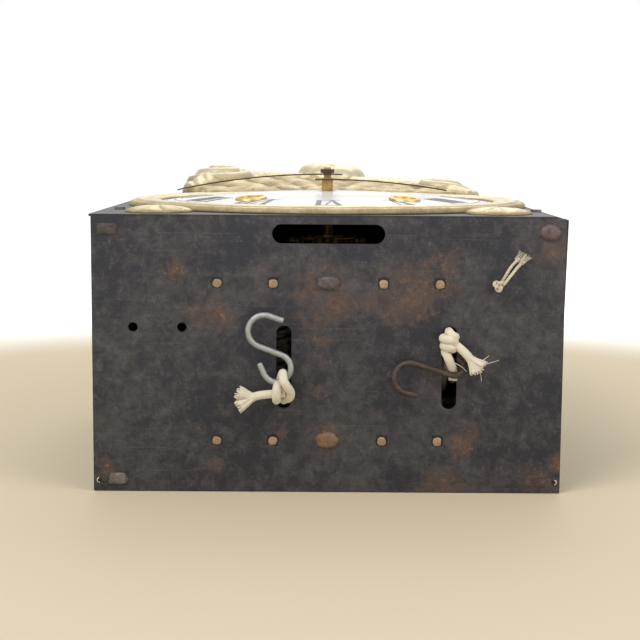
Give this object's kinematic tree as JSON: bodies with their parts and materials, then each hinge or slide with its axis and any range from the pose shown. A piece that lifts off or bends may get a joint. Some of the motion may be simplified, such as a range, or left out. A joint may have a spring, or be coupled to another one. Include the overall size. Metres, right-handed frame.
{
  "type": "longcase clock movement",
  "caption": "Iron-cage clock movement with going and striking trains, domed enamel dial, pressed brass surround, bell, side doors and hooked weight cords.",
  "frame": {"origin": "on the axis of the hands, in the plane of the back on which the movement lies", "axes": "+Z out of the dial, +Y towards twelve o'clock, +X to the right of the dial"},
  "size_m": [0.2525, 0.4007, 0.1711],
  "materials": {
    "dark_iron": "aged, rust-stained",
    "bare_iron": "forged, rusty",
    "steel": "tarnished",
    "brass": "dull",
    "pressed_brass": "worn gilt",
    "bell_metal": "dark patina",
    "enamel": "gloss",
    "cotton": "twisted, frayed",
    "bright_wire": "galvanised"
  },
  "bodies": {
    "cage": {"seat_plate": "dark_iron", "top_plate": "dark_iron", "corner_posts": "bare_iron", "centre_bars": "bare_iron", "going_bars": "bare_iron", "strike_bars": "bare_iron", "bar_wedges": "steel", "back_cover": "dark_iron", "case_screws": "steel", "dial_plate": "dark_iron", "dial_surround": "pressed_brass", "enamel_dial": "enamel", "winding_hole_rims": "brass", "bell_post": "steel", "bell": "bell_metal", "suspension_cock": "steel", "suspension_spring": "steel", "front_studs": "steel", "hammer_spring": "steel", "strike_cord": "cotton", "strike_cord_knot": "cotton", "strike_cord_tail": "cotton", "going_cord": "cotton", "going_cord_knot": "cotton", "going_cord_tail": "cotton", "repeat_cord": "cotton", "repeat_cord_knot": "cotton"},
    "going_great": {"going_great_wheel": "brass"},
    "going_click": {"going_click": "steel"},
    "going_barrel": {"going_drum": "bare_iron", "going_winding_arbor": "steel", "going_cord_winding": "cotton"},
    "second": {"second_wheel": "brass", "transfer_wheel": "brass"},
    "third": {"third_wheel": "brass"},
    "escape": {"escape_wheel": "brass"},
    "pallets": {"anchor": "steel", "crutch": "brass"},
    "minute": {"minute_arbor": "brass", "minute_hand": "steel", "hand_nut": "brass"},
    "intermediate": {"intermediate_wheel": "brass"},
    "hour": {"hour_wheel": "brass", "hour_hand": "steel"},
    "strike_great": {"strike_great_wheel": "brass"},
    "strike_click": {"strike_click": "steel"},
    "strike_barrel": {"strike_drum": "bare_iron", "strike_winding_arbor": "steel", "strike_cord_winding": "cotton"},
    "pins": {"pin_wheel": "brass"},
    "locking": {"locking_wheel": "brass"},
    "fly": {"fly": "brass"},
    "hammer": {"hammer": "steel"},
    "rack": {"rack": "steel"},
    "repeat_lever": {"repeat_lever": "steel"},
    "left_door": {"left_door": "dark_iron"},
    "right_door": {"right_door": "dark_iron"},
    "going_hook": {"going_hook": "bare_iron"},
    "strike_hook": {"strike_hook": "bright_wire"}
  },
  "joints": [
    {"name": "third_turn", "type": "hinge", "parent": "cage", "child": "third", "pos_m": [0.028, 0.025, 0.07], "axis": [0, 0, 1], "continuous": true},
    {"name": "second_turn", "type": "hinge", "parent": "cage", "child": "second", "pos_m": [0.044, -0.011, 0.07], "axis": [0, 0, 1], "continuous": true},
    {"name": "going_great_turn", "type": "hinge", "parent": "cage", "child": "going_great", "pos_m": [0.044, -0.055, 0.07], "axis": [0, 0, 1], "continuous": true},
    {"name": "escape_turn", "type": "hinge", "parent": "cage", "child": "escape", "pos_m": [0, 0.038, 0.07], "axis": [0, 0, 1], "continuous": true},
    {"name": "minute_turn", "type": "hinge", "parent": "cage", "child": "minute", "pos_m": [0, 0, 0.07], "axis": [0, 0, 1], "continuous": true},
    {"name": "intermediate_turn", "type": "hinge", "parent": "cage", "child": "intermediate", "pos_m": [0, -0.028, 0.07], "axis": [0, 0, 1], "continuous": true},
    {"name": "hour_turn", "type": "hinge", "parent": "cage", "child": "hour", "pos_m": [0, 0, 0.07], "axis": [0, 0, 1], "continuous": true},
    {"name": "locking_turn", "type": "hinge", "parent": "cage", "child": "locking", "pos_m": [-0.031, 0.025, 0.07], "axis": [0, 0, 1], "continuous": true},
    {"name": "pin_turn", "type": "hinge", "parent": "cage", "child": "pins", "pos_m": [-0.044, -0.011, 0.07], "axis": [0, 0, 1], "continuous": true},
    {"name": "strike_great_turn", "type": "hinge", "parent": "cage", "child": "strike_great", "pos_m": [-0.044, -0.055, 0.07], "axis": [0, 0, 1], "continuous": true},
    {"name": "fly_turn", "type": "hinge", "parent": "cage", "child": "fly", "pos_m": [-0.052, 0.047, 0.07], "axis": [0, 0, 1], "continuous": true},
    {"name": "going_winding", "type": "hinge", "parent": "going_great", "child": "going_barrel", "pos_m": [0.044, -0.055, 0.07], "axis": [0, 0, 1], "continuous": true, "deforming": ["going_cord"]},
    {"name": "strike_winding", "type": "hinge", "parent": "strike_great", "child": "strike_barrel", "pos_m": [-0.044, -0.055, 0.07], "axis": [0, 0, 1], "continuous": true, "deforming": ["strike_cord"]},
    {"name": "going_click_lift", "type": "hinge", "parent": "going_great", "child": "going_click", "pos_m": [0.02297, -0.03972, 0.041], "axis": [0, 0, 1], "range_deg": [0, 12], "stiffness_Nm_per_rad": 0.02, "springref_deg": -2.86},
    {"name": "strike_click_lift", "type": "hinge", "parent": "strike_great", "child": "strike_click", "pos_m": [-0.06503, -0.03972, 0.041], "axis": [0, 0, 1], "range_deg": [0, 12], "stiffness_Nm_per_rad": 0.02, "springref_deg": -2.86},
    {"name": "anchor_swing", "type": "hinge", "parent": "cage", "child": "pallets", "pos_m": [0, 0.06576, 0.07], "axis": [0, 0, 1], "range_deg": [-2.5, 2.5]},
    {"name": "hammer_lift", "type": "hinge", "parent": "cage", "child": "hammer", "pos_m": [-0.042, 0.075, 0.07], "axis": [0, 0, 1], "range_deg": [-7, 0], "stiffness_Nm_per_rad": 0.2, "springref_deg": 2.86},
    {"name": "rack_slide", "type": "slide", "parent": "cage", "child": "rack", "axis": [0, 1, 0], "range_m": [-0.026, 0]},
    {"name": "repeat_pull", "type": "hinge", "parent": "cage", "child": "repeat_lever", "pos_m": [0.058, 0.006, 0.116], "axis": [0, 0, 1], "range_deg": [-8, 0], "stiffness_Nm_per_rad": 0.05, "springref_deg": 2.86},
    {"name": "left_door_hinge", "type": "hinge", "parent": "cage", "child": "left_door", "pos_m": [-0.1218, 0, 0.0056], "axis": [0, -1, 0], "range_deg": [0, 90]},
    {"name": "right_door_hinge", "type": "hinge", "parent": "cage", "child": "right_door", "pos_m": [0.1218, 0, 0.0056], "axis": [0, 1, 0], "range_deg": [-1.2, 88]},
    {"name": "going_hook_swing", "type": "hinge", "parent": "cage", "child": "going_hook", "pos_m": [0.067, -0.1322, 0.0692], "axis": [0, 1, 0], "range_deg": [-10, 10]},
    {"name": "strike_hook_swing", "type": "hinge", "parent": "cage", "child": "strike_hook", "pos_m": [-0.0268, -0.1322, 0.068], "axis": [0, 1, 0], "range_deg": [-15, 15]}
  ],
  "couplings": [
    {"joint": "second_turn", "follows": "third_turn", "ratio": -0.11111},
    {"joint": "going_great_turn", "follows": "third_turn", "ratio": 0.010582},
    {"joint": "escape_turn", "follows": "third_turn", "ratio": -8},
    {"joint": "minute_turn", "follows": "third_turn", "ratio": 0.11111},
    {"joint": "intermediate_turn", "follows": "third_turn", "ratio": -0.037037},
    {"joint": "hour_turn", "follows": "third_turn", "ratio": 0.0092593},
    {"joint": "pin_turn", "follows": "locking_turn", "ratio": -0.11111},
    {"joint": "strike_great_turn", "follows": "locking_turn", "ratio": 0.010582},
    {"joint": "fly_turn", "follows": "locking_turn", "ratio": -8}
  ]
}
